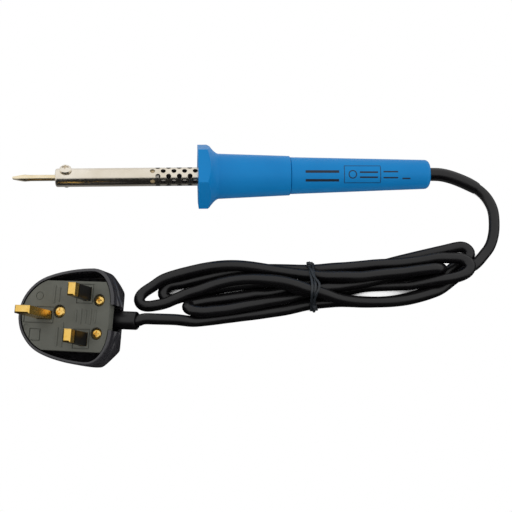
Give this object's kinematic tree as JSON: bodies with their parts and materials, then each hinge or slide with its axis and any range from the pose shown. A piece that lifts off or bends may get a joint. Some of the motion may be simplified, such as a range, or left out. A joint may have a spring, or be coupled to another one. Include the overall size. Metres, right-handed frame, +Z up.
{
  "type": "soldering iron",
  "caption": "Mains soldering iron with a vented barrel, a clamped chisel bit, a six-sided guard, a two-part handle, a tied flex and a fused three-pin plug.",
  "frame": {"origin": "on the table under the middle of the iron, leaving out the flex and its plug", "axes": "+X from the tip to the tail of the handle, +Z up from the table, +Y to the left of a person who looks along +X, away from the tied flex"},
  "size_m": [0.2494, 0.1157, 0.044],
  "materials": {
    "plated_bit": "bright nickel plate over copper, warm tint",
    "plated_steel": "bright nickel plate on drawn steel tube",
    "plain_steel": "plain drawn steel, slightly dull",
    "resistance_wire": "wound resistance wire, oxidised",
    "mica": "rolled mica sheet",
    "ceramic": "unglazed white ceramic",
    "blue_plastic": "injection-moulded blue thermoplastic, satin",
    "brass": "solid brass, machined, slightly worn",
    "brown_pvc": "brown insulated core",
    "light_blue_pvc": "light blue insulated core",
    "green_pvc": "green and yellow insulated core",
    "black_pvc": "black flexible PVC, satin",
    "tie_pvc": "slate-grey plastic-coated tie wire",
    "plug_shell": "black thermoset, glossy moulded",
    "plug_face": "grey thermoset, matt moulded"
  },
  "bodies": {
    "iron": {"barrel": "plated_steel", "core_rivet": "plain_steel", "heater_core": "plain_steel", "heater_winding": "resistance_wire", "mica_wrap": "mica", "ceramic_bush": "ceramic", "heater_lead_live": "plain_steel", "heater_lead_neutral": "plain_steel", "barrel_flange": "plain_steel", "handle_front": "blue_plastic", "handle_rear": "blue_plastic", "earth_tag": "brass", "earth_screw": "plain_steel", "lead_crimp_live": "plain_steel", "lead_crimp_neutral": "plain_steel", "handle_wire_live": "brown_pvc", "handle_wire_neutral": "light_blue_pvc", "handle_wire_earth": "green_pvc", "cord_ferrule": "plain_steel", "cord_lead": "black_pvc", "cord_hank": "black_pvc", "cord_to_plug": "black_pvc", "cord_tie": "tie_pvc", "cord_sleeve": "black_pvc", "plug_cover": "plug_shell", "plug_base": "plug_face", "plug_boot": "black_pvc", "earth_pin": "brass", "live_pin": "brass", "live_pin_sleeve": "black_pvc", "neutral_pin": "brass", "neutral_pin_sleeve": "black_pvc", "cord_grip": "plug_face", "fuse_body": "ceramic", "fuse_cap_1": "plated_steel", "fuse_cap_2": "plated_steel"},
    "bit": {"bit": "plated_bit"},
    "clamp_screw": {"clamp_screw": "plated_steel"},
    "cover_screw": {"cover_screw": "brass"},
    "grip_screw_1": {"grip_screw_1": "brass"},
    "grip_screw_2": {"grip_screw_2": "brass"}
  },
  "joints": [
    {"name": "bit_slide", "type": "slide", "parent": "iron", "child": "bit", "axis": [-0.9976, 0, 0.0685], "range_m": [0, 0.031]},
    {"name": "clamp_screw_turn", "type": "hinge", "parent": "iron", "child": "clamp_screw", "pos_m": [-0.07985, 0.0025, 0.02453], "axis": [0.0594, 0.5, 0.864], "continuous": true},
    {"name": "cover_screw_turn", "type": "hinge", "parent": "iron", "child": "cover_screw", "pos_m": [-0.0822, -0.06992, 0.01911], "axis": [-0.299, -0.0968, 0.9493], "continuous": true},
    {"name": "grip_screw_1_turn", "type": "hinge", "parent": "iron", "child": "grip_screw_1", "pos_m": [-0.06172, -0.06673, 0.02588], "axis": [-0.299, -0.0968, 0.9493], "continuous": true},
    {"name": "grip_screw_2_turn", "type": "hinge", "parent": "iron", "child": "grip_screw_2", "pos_m": [-0.06344, -0.08289, 0.02369], "axis": [-0.299, -0.0968, 0.9493], "continuous": true}
  ]
}
